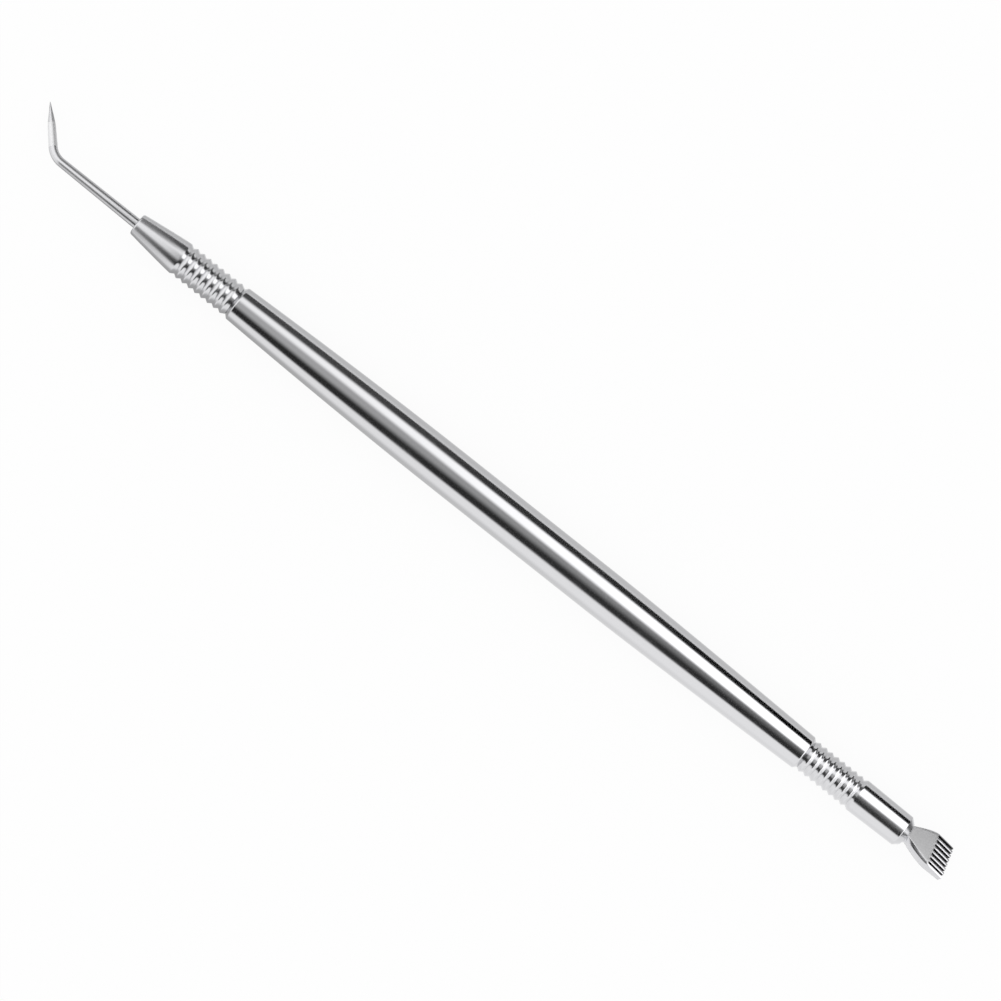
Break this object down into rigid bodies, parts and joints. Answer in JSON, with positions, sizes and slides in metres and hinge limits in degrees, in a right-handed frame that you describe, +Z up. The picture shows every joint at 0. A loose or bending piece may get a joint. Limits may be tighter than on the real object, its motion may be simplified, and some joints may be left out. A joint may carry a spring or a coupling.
{
  "type": "lash separator comb",
  "caption": "Slim lash separator: a turned steel spindle handle with ribbed necks, ending in a bent needle pick at the rear and a flared, fine-toothed comb at the front.",
  "frame": {"origin": "on the ground, under the middle of the box of the tool as it lies on a table", "axes": "+X along the tool towards its comb, +Z up; it rests on its barrel and on the point of its needle"},
  "size_m": [0.1604, 0.009, 0.0066],
  "materials": {
    "polished_steel": "polished",
    "satin_steel": "satin"
  },
  "bodies": {
    "root": {"handle_barrel": "polished_steel", "pick_ferrule": "polished_steel", "comb_ferrule": "polished_steel", "pick_needle": "polished_steel", "comb_blade": "satin_steel"}
  },
  "joints": []
}
